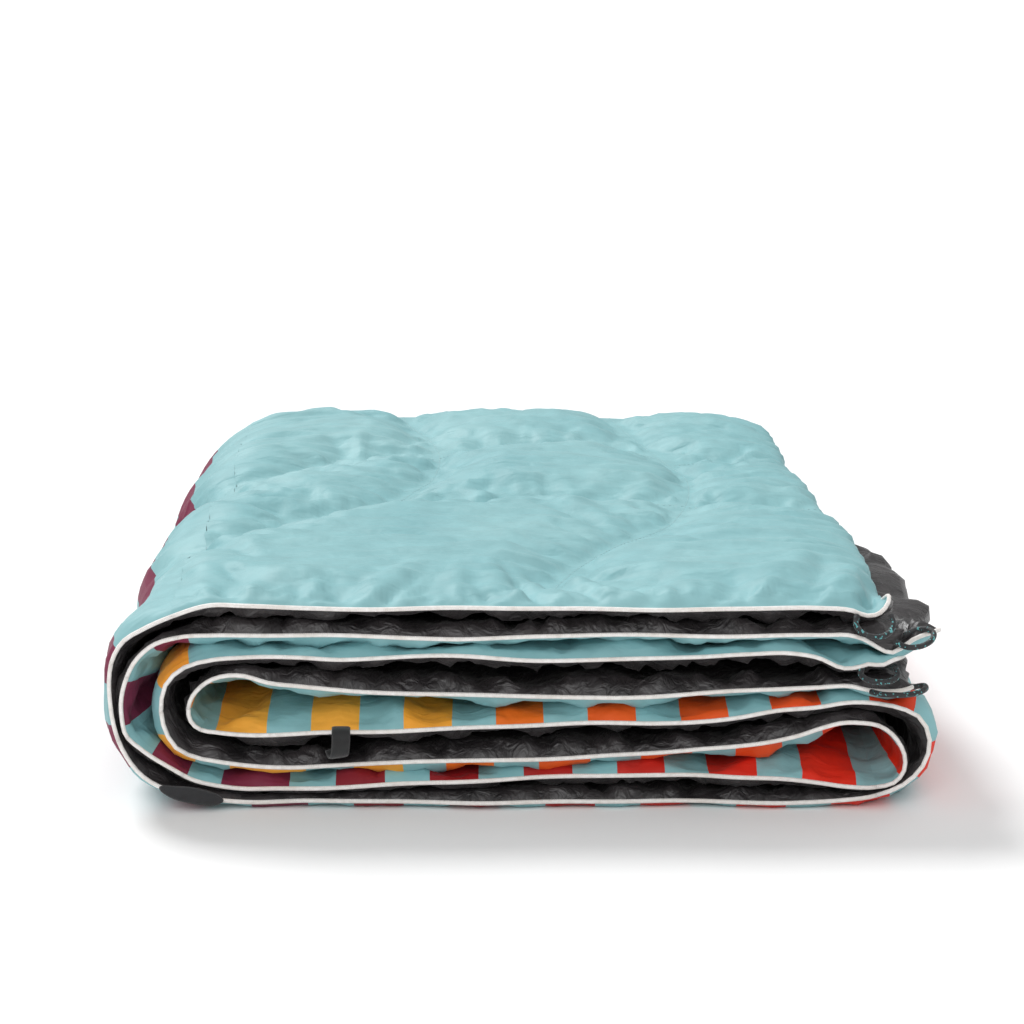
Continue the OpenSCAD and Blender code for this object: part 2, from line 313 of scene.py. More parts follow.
def face_material():
    n = Nodes("printed_taffeta")
    stored = n.flat()
    flat = n.scaled(stored, 1, 1, 0)
    bar = n.axes(stored)[2]
    teal = n.mix(n.noise(flat, 9), TEALS["deep"], TEALS["light"])
    # Bars across the cloth: the attribute's third number counts them, whole in the middle of a bar
    count = n.math("ADD", bar, 0.5)
    from_middle = n.math("ABSOLUTE", n.math("SUBTRACT", n.math("FRACT", count), 0.5))
    bars = n.math("LESS_THAN", from_middle, BAR_SHARE / 2)
    number = len(BAR_COLOURS)
    started, ended = n.math("GREATER_THAN", count, 0.0), n.math("LESS_THAN", count, number)
    printed = n.math("MULTIPLY", n.math("MULTIPLY", started, ended), bars)
    stops = [(k / number, srgb(colour)) for k, colour in enumerate(BAR_COLOURS)]
    ink = n.ramp(n.math("DIVIDE", count, number), stops, "CONSTANT")
    colour = n.mix(printed, teal, ink)
    shade = n.ramp(n.noise(flat, 55, 3), [(0.3, srgb("e6e6e6")), (0.7, srgb("ffffff"))])
    colour = n.mix(0.6, colour, shade, "MULTIPLY")
    threads = n.bump(n.weave(flat, 0.0005), 0.15, 0.0001)
    streaks = n.bump(n.noise(n.scaled(flat, 0.16, 1, 1), 90, 2, 0.4), 0.34, 0.0022, threads)
    creases = n.bump(n.noise(n.scaled(flat, 0.5, 1, 1), 70, 2, 0.7), 0.60, 0.0032, streaks)
    roughness = n.grey(n.noise(flat, 30), 0.50, 0.60)
    return n.finish(
        colour, roughness, creases, Sheen_Weight=0.04, Sheen_Roughness=0.35, Specular_IOR_Level=0.30,
        Anisotropic=0.3,
    )


def lining_material():
    n = Nodes("lining_satin")
    flat = n.scaled(n.flat(), 1, 1, 0)
    colour = n.ramp(n.noise(flat, 45, 3), [(0.35, srgb("1d1b1c")), (0.7, srgb("353132"))])
    crumple = n.noise(n.scaled(flat, 0.75, 1, 1), 120, 4, 1.2)
    threads = n.bump(n.weave(flat, 0.0005), 0.1, 0.0001)
    creases = n.bump(crumple, 0.9, 0.0034, threads)
    roughness = n.grey(n.noise(flat, 60), 0.32, 0.46)
    return n.finish(
        colour, roughness, creases, Sheen_Weight=0.06, Sheen_Roughness=0.3, Specular_IOR_Level=0.6
    )


def insulation_material():
    n = Nodes("synthetic_fill")
    place = n.flat()
    colour = n.ramp(n.noise(place, 150, 4), [(0.3, srgb("dcd8cf")), (0.7, srgb("f4f1ea"))])
    fibres = n.bump(n.noise(n.scaled(place, 1, 3, 1), 900, 5, 2.0), 0.6, 0.001)
    return n.finish(colour, 0.95, fibres, Sheen_Weight=0.4)


def piping_material():
    n = Nodes("piping_tape")
    flat = n.flat()
    ribs = n.sine(n.axes(flat)[0], 0.0011)
    colour = n.ramp(n.noise(flat, 220, 3), [(0.3, srgb("e4dfda")), (0.65, srgb("f6f3f0"))])
    grime = n.ramp(n.noise(flat, 26, 2), [(0.45, srgb("ffffff")), (0.9, srgb("e9e3dd"))])
    colour = n.mix(1.0, colour, grime, "MULTIPLY")
    ribbed = n.bump(ribs, 0.35, 0.00025)
    creases = n.bump(n.noise(flat, 400, 3), 0.3, 0.0004, ribbed)
    roughness = n.grey(n.noise(flat, 90), 0.62, 0.8)
    return n.finish(colour, roughness, creases, Sheen_Weight=0.2, Sheen_Roughness=0.5)


def loop_material():
    n = Nodes("braided_cord")
    place = n.place()
    cells = n.add("ShaderNodeTexVoronoi", {"Vector": place, "Scale": 420.0})
    flecks = n.math("LESS_THAN", n.noise(place, 520, 1), 0.36)
    dark = n.mix(cells.outputs["Distance"], srgb("2a2b2e"), srgb("101113"))
    light = n.mix(n.noise(place, 90), srgb("2f7f83"), srgb("6fb9ba"))
    colour = n.mix(flecks, dark, light)
    braid = n.bump(cells.outputs["Distance"], 0.8, 0.0005)
    roughness = n.grey(n.noise(place, 300), 0.5, 0.75)
    return n.finish(colour, roughness, braid, Sheen_Weight=0.2)


def ribbed_material(name, dark, light, rib):
    n = Nodes(name)
    flat = n.flat()
    along, across, _ = n.axes(flat)
    weave = n.math("MULTIPLY", n.sine(across, rib), n.sine(along, rib * 0.6))
    colour = n.mix(n.noise(flat, 300, 3), srgb(dark), srgb(light))
    wear = n.ramp(n.noise(flat, 90, 2), [(0.5, srgb("ffffff")), (0.9, srgb("d8d4d0"))])
    colour = n.mix(1.0, colour, wear, "MULTIPLY")
    surface = n.bump(weave, 0.7, 0.0003)
    roughness = n.grey(n.noise(flat, 200), 0.55, 0.8)
    return n.finish(colour, roughness, surface, Sheen_Weight=0.35)


def thread_material():
    n = Nodes("sewing_thread")
    place = n.place()
    twist_and_groove_shade = n.add("ShaderNodeTexWave", {"Vector": place, "Scale": 900.0, "Distortion": 1.0})
    # Painted shade: the thread is darker in the grooves of its twist, where the wave's bump is low
    colour = n.mix(twist_and_groove_shade.outputs["Fac"], srgb("86b4b8"), srgb("bcd9da"))
    surface = n.bump(twist_and_groove_shade.outputs["Fac"], 0.5, 0.0002)
    return n.finish(colour, n.grey(n.noise(place, 500), 0.4, 0.6), surface, Sheen_Weight=0.2)


FACE = face_material()
LINING = lining_material()
INSULATION = insulation_material()
PIPING = piping_material()

loop_cloth = loop_material()
for loop_name, loop_route in LOOP_ROUTES.items():
    corner_loop(loop_name, loop_route, loop_cloth)

# ===== The hems as they lie at the front: points (x, z) in millimetres, one list for each stretch =====

HEM_ONE = [
    [(228, 137), (227, 132), (221, 126), (214, 125), (206, 128), (186, 130), (137, 129.7), (62, 130),
     (-40, 130.3), (-136, 131), (-170, 132.5)],
    [(-190, 132.5), (-214, 125), (-232, 117), (-245, 109), (-252, 97), (-254, 86), (-254, 72),
     (-252.5, 57), (-248, 41), (-236, 23), (-220, 13.5), (-204, 9.8)],
    [(-190, 7.3), (-169, 4.8), (-130, 5.4), (-62, 4.8), (40, 4.9), (137, 4.6), (175, 4.4), (200, 5.6)],
    [(224, 9.3), (243, 18), (252, 28), (256, 40), (255, 50), (248, 60.5), (238, 65)],
    [(224, 68), (205, 69), (186, 66.5), (161, 64.5), (137, 60), (87, 56.8), (37, 56), (-12, 53.8),
     (-62, 52.5), (-111, 51)],
    [(-190, 50.3), (-198, 51.5), (-204, 56), (-206, 63), (-204.5, 71), (-198, 80)],
    [(-190, 85.5), (-181, 88), (-172, 88), (-155, 83), (-136, 80.8), (-111, 78.5), (-62, 75),
     (-12, 74.4), (37, 73.2), (87, 74.3), (137, 77), (185, 79), (207, 79.5), (216, 77.5), (247, 78)],
]
HEM_TWO = [
    [(254, 114), (244, 110), (236, 104), (230, 101.5), (222, 105), (213, 110.5), (206, 113), (186, 113.5),
     (137, 112.6), (87, 112.8), (13, 112.6), (-37, 111), (-62, 112), (-111, 113), (-155, 113)],
    [(-190, 113), (-210, 112), (-227, 107), (-237, 98), (-244, 84), (-247, 71), (-247, 60), (-245, 49),
     (-235, 39), (-217, 27), (-204, 19.5)],
    [(-190, 15.5), (-173, 13), (-151, 13.5), (-111, 15), (-62, 17.8), (-12, 19), (37, 21.6), (87, 22.3),
     (112, 22.8), (137, 21.5), (161, 20), (186, 16.8), (205, 14.2)],
    [(224, 14), (236, 17.5), (241, 25), (241, 34), (237, 43), (231, 50)],
    [(224, 54.3), (212, 56.7), (201, 57), (189, 54), (174, 48.5), (151, 43), (137, 41.3), (112, 39.3),
     (87, 36.5), (37, 34), (-12, 32.5), (-62, 32), (-111, 28.5), (-145, 27.5), (-170, 29)],
    [(-190, 31.8), (-205, 35.5), (-214, 41), (-219, 49), (-222, 60), (-222, 72), (-218, 84), (-208, 93)],
    [(-190, 98.3), (-172, 99.3), (-136, 98.8), (-111, 97.5), (-86, 98.3), (-37, 100.5), (13, 97),
     (62, 98), (112, 98.5), (141, 101), (167, 101.8), (184, 99), (202, 92), (209, 92.7), (216, 95),
     (224, 94.3), (231, 97), (240, 97.5)],
]


def hem_line(stretches):
    """Stations, distances along the hem and points (x, z). A station is a stretch's number plus a share."""
    stations, points = [], []
    for k, stretch in enumerate(stretches):
        chain = np.array(stretch + ([stretches[k + 1][0]] if k < THIRD else []), float) / 1000
        shares = distances(chain)
        shares = shares / shares[-1]
        if k < THIRD:
            chain, shares = chain[:-1], shares[:-1]
        stations.extend(k + shares)
        points.extend(chain)
    points = np.array(points)
    return np.array(stations), distances(points), points


def hem_point(hem, u):
    stations, lengths, points = hem
    return through(lengths, points, np.interp(u, stations, lengths))


HEMS = [hem_line(HEM_ONE), hem_line(HEM_TWO)]

# ===== Shape of the folded pair of sheets =====

FRONT_DEPTH = 0.085  # how far behind the hem the layers take up their even heights
FACE_RISE = 0.040  # how far behind the hem a sheet reaches its full loft
LINING_RISE = 0.026
EDGE_HALF = 0.0010  # half a sheet's thickness at its hem
HEM_WAVE = 0.0016  # how far the hems wave forwards and back
HEM_WAVES = 31, 73  # in radians per metre
CORNER_R = 0.016
TIGHT_FADE = 0.10  # share of a run next to a tight fold over which the inner sheet thins
FOLDED_OFF = 0.0050  # offset and half thickness of the sheet inside a tight fold
FOLDED_HALF = 0.0038


def spine(u):
    """Point (x, z) of the pair's middle line at station u, and its heading as an angle."""
    k = np.clip(np.floor(u), 0, 6).astype(int)
    f = u - k
    turn = math.pi * f
    outer = math.pi / 2 + turn
    right = -math.pi / 2 + turn
    inner = -math.pi / 2 - turn
    zero = np.zeros_like(f)
    x = np.choose(k, [
        TOP_END_X + (LEFT_X - TOP_END_X) * f,
        LEFT_X + OUTER_R * np.cos(outer),
        LEFT_X + (RIGHT_X - LEFT_X) * f,
        RIGHT_X + TIGHT_R * np.cos(right),
        RIGHT_X + (LEFT_X - RIGHT_X) * f,
        LEFT_X + TIGHT_R * np.cos(inner),
        LEFT_X + (THIRD_END_X - LEFT_X) * f,
    ])
    z = np.choose(k, [
        TOP_Z + zero,
        LEFT_Z + OUTER_R * np.sin(outer),
        BOTTOM_Z + zero,
        RIGHT_Z + TIGHT_R * np.sin(right),
        SECOND_Z + zero,
        LEFT_Z + TIGHT_R * np.sin(inner),
        THIRD_Z + zero,
    ])
    heading = np.choose(k, [
        math.pi + zero, outer + math.pi / 2, zero, right + math.pi / 2,
        math.pi + zero, inner - math.pi / 2, zero,
    ])
    return x, z, heading


def along_cloth(u):
    k = np.clip(np.floor(u), 0, 6).astype(int)
    return STRETCH_STARTS[k] + (u - k) * STRETCH_LENGTHS[k]


def station(s):
    k = np.clip(np.searchsorted(STRETCH_STARTS, s, side="right") - 1, 0, 6)
    return k + (s - STRETCH_STARTS[k]) / STRETCH_LENGTHS[k]


def hem_distance(t):
    return np.minimum(t, CLOTH_WIDTH - t)


def end_distance(s):
    return np.minimum(s, CLOTH_LENGTH - s)


def tight(u, fold):
    """1 inside a tight fold and 0 away from it."""
    away = np.maximum(fold - u, u - fold - 1)
    return 1 - smooth(away / TIGHT_FADE)


def round_corners(u, t):
    """Moves points of the flat cloth so that its four corners are rounded."""
    s = along_cloth(u)
    a = np.clip(1 - end_distance(s) / CORNER_R, 0, 1)
    b = np.clip(1 - hem_distance(t) / CORNER_R, 0, 1)
    end_in = CORNER_R * a * (1 - np.sqrt(1 - b * b / 2))
    hem_in = CORNER_R * b * (1 - np.sqrt(1 - a * a / 2))
    s = s + np.where(s < CLOTH_LENGTH / 2, end_in, -end_in)
    t = t + np.where(t < CLOTH_WIDTH / 2, hem_in, -hem_in)
    return np.clip(station(s), 0, 7), t


# How far the free ends stand out or in from their even line, against y: upper and lower sheet of each layer
END_SHIFTS = {
    (TOP, 0): [(-0.33, -0.010), (-0.26, 0.000), (-0.17, 0.003), (-0.06, -0.003), (0.05, -0.010),
               (0.33, -0.012)],
    (TOP, 1): [(-0.33, 0.030), (-0.32, 0.040), (-0.30, 0.039), (-0.27, 0.034), (-0.24, 0.031), (-0.21, 0.026),
               (-0.17, 0.026), (-0.14, 0.022), (-0.11, 0.017), (-0.08, 0.010), (-0.05, 0.001), (0.0, -0.008),
               (0.33, -0.014)],
    (THIRD, 0): [(-0.33, 0.012), (-0.25, 0.014), (-0.15, 0.007), (0.05, -0.010), (0.33, -0.014)],
    (THIRD, 1): [(-0.33, -0.002), (-0.25, 0.000), (-0.15, -0.004), (0.05, -0.012), (0.33, -0.014)],
}
END_REACH = 0.13
ROLL_R = {TOP: 0.008, THIRD: 0.0045}  # the free edges roll under
ROLL_TURN = math.radians(112)
ROLL_START, ROLL_RISE = 0.006, 0.030  # behind the hem: where the roll starts, and over what distance
END_LOW, END_HIGH = -0.33, 0.33  # the y that the shifts' first and last values are for


def end_shift(u, y, side):
    """Change in x near the free ends."""
    shift = np.zeros_like(y)
    s = along_cloth(u)
    for (layer, sheet), points in END_SHIFTS.items():
        points = np.array(points)
        from_end = s if layer == TOP else CLOTH_LENGTH - s
        here = (side == sheet) * (1 - smooth(from_end / END_REACH))
        shift = shift + here * through(points[:, 0], points[:, 1], np.clip(y, END_LOW, END_HIGH))
    return shift


def sheet_offset(u, side):
    """Signed distance of a sheet's middle from the pair's middle."""
    inside = np.where(side == 0, tight(u, INNER), tight(u, RIGHT))
    off = SHEET_OFF + (FOLDED_OFF - SHEET_OFF) * inside
    return np.where(side == 0, off, -off)


def sheet_middle(u, t):
    """Point of the sheet's middle surface at station u and distance t across the cloth."""
    u, t = round_corners(u, t)
    x, z, heading = spine(u)
    nx, nz = np.cos(heading - math.pi / 2), np.sin(heading - math.pi / 2)
    side = (t > CLOTH_WIDTH / 2).astype(int)
    off = sheet_offset(u, side)
    bend = np.clip((t - SHEET_DEPTH) / BEND_LENGTH, 0, 1) * math.pi
    y = HEM_Y + np.minimum(hem_distance(t), SHEET_DEPTH) + SHEET_OFF * np.sin(bend)
    over = np.where((bend > 0) & (bend < math.pi), np.abs(off) * np.cos(bend), off)
    shift = end_shift(u, y, side)
    # The layers settle towards the hems as they lie
    hem_shift = end_shift(u, np.full_like(u, HEM_Y), side)
    lying = np.where((side == 0)[..., None], hem_point(HEMS[0], u), hem_point(HEMS[1], u))
    near = 1 - smooth((y - HEM_Y) / FRONT_DEPTH)
    px = x + nx * over + shift + (lying[..., 0] - x - nx * off - hem_shift) * near
    pz = z + nz * over + (lying[..., 1] - z - nz * off) * near
    s = along_cloth(u)
    end_gap = np.where(u < OUTER, s, CLOTH_LENGTH - s)
    roll_r = np.where(u < OUTER, ROLL_R[TOP], ROLL_R[THIRD])
    rolled = np.maximum(roll_r * ROLL_TURN - end_gap, 0)
    away = smooth((y - HEM_Y - ROLL_START) / ROLL_RISE)
    px = px + (roll_r * np.sin(rolled / roll_r) - rolled) * away
    pz = pz - roll_r * (1 - np.cos(rolled / roll_r)) * away
    waves = np.sin(s * HEM_WAVES[0] + side * 2) + 0.6 * np.sin(s * HEM_WAVES[1] + side)
    y = y + HEM_WAVE * near * waves
    return rounded_pack(px, y, pz)


# How the back corners are rounded, as seen from above: the share by which each side is drawn in sideways,
# the share by which it is drawn forwards, and how sharply. The left side isn't drawn in sideways, because
# its folds have to stay at their hinges.
BackCorner = namedtuple("BackCorner", "sideways forwards sharpness")
BACK_RIGHT, BACK_LEFT = BackCorner(0.06, 0.36, 2), BackCorner(0.0, 0.48, 5)
ROUNDING_EDGE = cad_high.x - 0.02  # where a side is drawn forwards by its full share
SIDES_MEET = 0.12  # either side of the middle, where one side's rounding passes into the other's


def rounded_pack(x, y, z):
    across = np.minimum(np.abs(x) / ROUNDING_EDGE, 1.1)
    back = np.maximum(y, 0) / BACK_Y
    on_right = smooth((x + SIDES_MEET) / (2 * SIDES_MEET))
    sideways, forwards = 0, 0
    for corner, share in ((BACK_RIGHT, on_right), (BACK_LEFT, 1 - on_right)):
        sideways = sideways + corner.sideways * share
        forwards = forwards + corner.forwards * across ** corner.sharpness * share
    new_x = x * np.sqrt(1 - sideways * back**2)
    new_y = np.where(y > 0, y * np.sqrt(1 - np.minimum(forwards, 0.6)), y)
    return np.stack([new_x, new_y, z], axis=-1)


NUDGE = 0.0006  # step for measuring the surface's slopes


def outward(u, t):
    """Unit normal of the sheet's middle surface, away from the pair's middle."""
    s = along_cloth(u)
    ahead = sheet_middle(station(np.minimum(s + NUDGE, CLOTH_LENGTH)), t)
    behind = sheet_middle(station(np.maximum(s - NUDGE, 0)), t)
    far = sheet_middle(u, np.minimum(t + NUDGE, CLOTH_WIDTH))
    near = sheet_middle(u, np.maximum(t - NUDGE, 0))
    normal = np.cross(far - near, ahead - behind)
    size = np.linalg.norm(normal, axis=-1, keepdims=True)
    return normal / np.maximum(size, 1e-12)


HOLLOW = 0.0046  # how far the linings stand apart again behind their gathered hems
HOLLOW_START, HOLLOW_FULL, HOLLOW_FADE, HOLLOW_END = 0.010, 0.032, 0.045, 0.075


def hollow(t):
    opening = smooth((hem_distance(t) - HOLLOW_START) / (HOLLOW_FULL - HOLLOW_START))
    closing = smooth((hem_distance(t) - HOLLOW_FADE) / (HOLLOW_END - HOLLOW_FADE))
    return HOLLOW * opening * (1 - closing)


def loft(u, t, reach=FACE_RISE):
    """Half the sheet's thickness before quilting."""
    s = along_cloth(u)
    side = t > CLOTH_WIDTH / 2
    inside = np.where(side, tight(u, RIGHT), tight(u, INNER))
    full = SHEET_HALF + (FOLDED_HALF - SHEET_HALF) * inside
    edge = np.minimum(hem_distance(t), end_distance(s))
    rise = np.sqrt(np.clip(1 - (1 - np.minimum(edge / reach, 1)) ** 2, 0, 1))
    return EDGE_HALF + (full - EDGE_HALF) * rise


def ripple(points, size, seed, detail=1):
    """Smooth noise from -1 to 1 at flat points (along, across), in metres, with features of that size."""
    flat = points.reshape(-1, 2) / size
    values = [noise.fractal((a, b, seed * 7.31), 1.0, 2.0, detail) for a, b in flat]
    return np.array(values).reshape(points.shape[:-1])


# Quilting lines on the top layer, (x, y) in millimetres
TOP_SEAMS = [
    [(-97, 327), (-89, 269), (-77, 233), (-65, 183), (-60, 130), (-61, 85), (-65, 48), (-76, 13),
     (-86, -21), (-99, -49), (-137, -70), (-157, -96), (-182, -126), (-216, -165), (-240, -200)],
    [(84, 322), (94, 254), (103, 203), (116, 135), (123, 103), (131, 66), (131, 24), (126, -22),
     (117, -66), (108, -97), (92, -127), (70, -156), (55, -185), (41, -217), (28, -256), (22, -280)],
    [(-240, 60), (-220, 11), (-195, 49), (-160, 92), (-135, 117), (-100, 130), (-62, 133)],
    [(-62, 133), (-44, 156), (-20, 163), (16, 173), (53, 179), (81, 172), (101, 155), (115, 135)],
    [(-99, -49), (-63, -43), (-19, -32), (14, -22), (47, -22), (83, -27), (124, -38)],
    [(123, 110), (155, 125), (190, 115), (215, 109)],
    [(122, -42), (163, -44), (195, -50), (230, -45)],
]


WAVY_SPACING = 0.185
SWAY = 0.026


def top_flat(x, y):
    """Flat place (along, across) of a point on the upper sheet of the top layer."""
    return (TOP_END_X - x, y - HEM_Y)


def seam_lines():
    """Every quilting line as points on the flat cloth."""
    lines = [np.array([top_flat(x / 1000, y / 1000) for x, y in seam]) for seam in TOP_SEAMS]
    # On the rest of the cloth: wavy lines from hem to hem, joined by arcs
    across = np.linspace(0.03, CLOTH_WIDTH - 0.03, 60)
    f = np.linspace(0, 1, 14)
    starts = np.arange(STRETCH_STARTS[OUTER] + 0.11, CLOTH_LENGTH - 0.05, WAVY_SPACING)
    for k, start in enumerate(starts):
        sway = SWAY * np.sin(across * 13 + 1.9 * k) + 0.012 * np.sin(across * 29 + k)
        lines.append(np.stack([start + sway, across], axis=-1))
        for rung in range(6):
            place = 0.12 + 0.21 * rung + 0.07 * (k % 3) / 2
            arc = place + 0.022 * np.sin(f * math.pi) + 0.02 * f
            begin = start + SWAY * np.sin(place * 13 + 1.9 * k)
            lines.append(np.stack([begin + WAVY_SPACING * f, arc], axis=-1))
    return lines


SEAMS = seam_lines()


def nearest_seam(flat, lines):
    """Distance from flat points to the nearest quilting line, and how far along the lines that is."""
    points = flat.reshape(-1, 2)
    best, place, begin = np.full(len(points), 1.0), np.zeros(len(points)), 0.0
    for line in lines:
        begin += 1.0
        low, high = line.min(axis=0) - 0.06, line.max(axis=0) + 0.06
        near = np.all((points > low) & (points < high), axis=1)
        if not near.any():
            continue
        chosen = points[near]
        found, where, done = np.full(len(chosen), 1.0), np.zeros(len(chosen)), begin
        for a, b in zip(line[:-1], line[1:]):
            step = b - a
            f = np.clip(((chosen - a) @ step) / (step @ step), 0, 1)
            away = np.linalg.norm(chosen - a - f[:, None] * step, axis=1)
            where = np.where(away < found, done + f * np.linalg.norm(step), where)
            found = np.minimum(found, away)
            done += np.linalg.norm(step)
        place[near] = np.where(found < best[near], where, place[near])
        best[near] = np.minimum(best[near], found)
    return best.reshape(flat.shape[:-1]), place.reshape(flat.shape[:-1])


PUCKER_SIZES = 0.013, 0.027  # width of the fine and the long puckers
PUCKER_REACH = 0.012, 0.026  # how far they reach from the quilting line
GATHER_SIZES = 0.014, 0.038


def puckers(distance, place):
    """Short folds across a quilting line, where its thread draws the cloth together, from about -1 to 1."""
    fan = place + 0.35 * distance * np.sin(place * 37)
    fine = crests(ripple(np.stack([fan, distance * 0.20], axis=-1), PUCKER_SIZES[0], 31, 1))
    long = crests(ripple(np.stack([fan, distance * 0.22], axis=-1), PUCKER_SIZES[1], 37, 1))
    start = smooth(distance / 0.005)
    fine, long = fine * np.exp(-distance / PUCKER_REACH[0]), long * np.exp(-distance / PUCKER_REACH[1])
    return start * (0.5 * fine + long)


def crests(values):
    """Turns smooth noise into folds with sharp crests and rounded hollows, from about -1 to 1."""
    return 1 - 3.6 * np.abs(values)


def gathers(flat, reach, shortness=0.45):
    """Ridges across the hem, where the cloth is gathered into it, from about -1 to 1."""
    along, from_hem = flat[..., 0], hem_distance(flat[..., 1])
    side = np.where(flat[..., 1] > CLOTH_WIDTH / 2, 40.0, 0.0)
    slant = 0.55 * from_hem * np.sin(along * 23 + side)
    narrow = ripple(np.stack([along + slant + side, from_hem * 0.30], axis=-1), GATHER_SIZES[0], 3, 1)
    wide = ripple(np.stack([along + slant + side, from_hem * 0.26], axis=-1), GATHER_SIZES[1], 5, 1)
    start = smooth((from_hem - 0.001) / 0.010)
    short = crests(narrow) * np.exp(-((from_hem / (0.35 * reach)) ** 2))
    long = crests(wide) * np.exp(-((from_hem / reach) ** 2))
    return start * (shortness * short + long)


def free_side(u, t):
    """1 where the face cloth is free to stand out, 0 where it lies against another layer."""
    upper = t < CLOTH_WIDTH / 2
    top = u < BOTTOM
    right = smooth((u - RIGHT + 0.06) / 0.1) * smooth((SECOND + 0.03 - u) / 0.1)
    outer_end = 1 - smooth((u - OUTER - 0.8) / 0.2)
    open_side = np.where(upper, np.maximum(top * outer_end, right), 0)
    from_bend = np.abs(t - CLOTH_WIDTH / 2)
    back = 1 - smooth((from_bend - BEND_LENGTH / 2) / 0.02)
    return np.maximum(open_side, back)


SETTLE_FRAMES = 22
SETTLE_CAP = 0.018  # the furthest a point may move out
SETTLE_ROUGHNESS = 0.0008  # of the flat patch, so that its wrinkles have somewhere to start
SETTLE_CLOTH = {
    "quality": 5, "mass": 0.1, "tension_stiffness": 15, "compression_stiffness": 15, "shear_stiffness": 5,
    "bending_stiffness": 0.1, "air_damping": 3, "vertex_group_mass": "held", "use_pressure": True,
}
PANEL_SHARE = 0.62  # of the settled heights of whole panels; their wrinkles are kept in full


class Settled:
    """Heights of a patch of cloth after it has settled, on an even grid of the flat cloth."""

    def __init__(self, name, low, high, step, lines, pressure, excess):
        self.low = np.array(low)
        self.counts = [round((b - a) / step) + 1 for a, b in zip(low, high)]
        self.step = (np.array(high) - self.low) / (np.array(self.counts) - 1)
        along, across = [a + st * np.arange(n) for a, st, n in zip(low, self.step, self.counts)]
        self.flat = np.stack(np.meshgrid(along, across, indexing="ij"), axis=-1)
        held = nearest_seam(self.flat, lines)[0] < step * 0.75
        held[[0, -1], :] = True
        held[:, [0, -1]] = True
        self.heights = self.settle(name, held, pressure, excess)

    def settle(self, name, held, pressure, excess):
        """Runs Blender's cloth on the patch, held at its seams, and returns how far each point moved out."""
        rough = ripple(self.flat, 0.016, 9, 1) * SETTLE_ROUGHNESS
        points = np.concatenate([self.flat, rough[..., None]], axis=-1)
        mesh = bpy.data.meshes.new(name)
        mesh.from_pydata(points.reshape(-1, 3).tolist(), [], grid_faces(*self.counts, flip=True).tolist())
        patch = bpy.data.objects.new(name, mesh)
        scene.collection.objects.link(patch)
        group = patch.vertex_groups.new(name="held")
        group.add(np.flatnonzero(held.ravel()).tolist(), 1.0, "REPLACE")
        cloth = patch.modifiers.new("cloth", "CLOTH")
        for key, value in SETTLE_CLOTH.items():
            setattr(cloth.settings, key, value)
        cloth.settings.uniform_pressure_force = pressure
        cloth.settings.shrink_min = -excess
        cloth.settings.effector_weights.gravity = 0
        cloth.collision_settings.use_collision = False
        for frame_number in range(1, SETTLE_FRAMES + 1):
            scene.frame_set(frame_number)
        settled = patch.evaluated_get(bpy.context.evaluated_depsgraph_get())
        found = np.empty(points.size, np.float32)
        settled.data.vertices.foreach_get("co", found)
        scene.frame_set(1)
        bpy.data.objects.remove(patch)
        bpy.data.meshes.remove(mesh)
        heights = found.reshape(points.shape)[..., 2].astype(float)
        return np.clip(heights, -SETTLE_CAP, SETTLE_CAP)

    def flattened(self, reach):
        """Lowers whole panels, which are what is left when the heights are smoothed over that reach."""
        cells = max(1, round(reach / self.step[0]))
        width = 2 * cells
        panels = self.heights
        for axis in (0, 1, 0, 1):
            edges = [(0, 0), (0, 0)]
            edges[axis] = (cells, cells)
            total = np.cumsum(np.pad(panels, edges, mode="edge"), axis=axis)
            ahead = np.take(total, range(width, total.shape[axis]), axis=axis)
            behind = np.take(total, range(0, total.shape[axis] - width), axis=axis)
            panels = (ahead - behind) / width
        self.heights = self.heights - (1 - PANEL_SHARE) * panels

    def at(self, flat):
        """Heights at flat points; 0 outside the patch."""
        place = (flat - self.low) / self.step
        inside = np.all((place >= 0) & (place <= np.array(self.counts) - 1), axis=-1)
        cell = np.clip(np.floor(place).astype(int), 0, np.array(self.counts) - 2)
        f = np.clip(place - cell, 0, 1)
        i, j = cell[..., 0], cell[..., 1]
        a, b = f[..., 0], f[..., 1]
        near = self.heights[i, j] * (1 - a) + self.heights[i + 1, j] * a
        far = self.heights[i, j + 1] * (1 - a) + self.heights[i + 1, j + 1] * a
        return np.where(inside, near * (1 - b) + far * b, 0)

    def even(self):
        """Takes away the mean height across the patch, so that only its wrinkles are left."""
        self.heights = self.heights - self.heights.mean(axis=0, keepdims=True)
        return self


PANEL_SINK = 0.0040  # the panels' seams start this far below the even loft
SEAM_DENT = 0.0088  # how deep the quilting lines lie, where the cloth is free and where it isn't
HIDDEN_DENT = 0.0022
SEAM_WIDTH = 0.0070
TOP_GATHER, HEM_GATHER, LINING_GATHER = 0.0056, 0.0034, 0.0040
PUCKER = 0.0036
LONG_FOLD = 0.0015
CRUMPLE = 0.0036  # of the lining at its free ends
HEM_WRINKLE_SHARE = 0.62
GATHER_REACH, LINING_GATHER_REACH = 0.065, 0.040
BODY_START = 0.03  # from the hems, where the quilting has its full depth
TOP_END, TOP_FADE = OUTER + 0.85, 0.15  # station where the top's relief ends, and the share it fades over


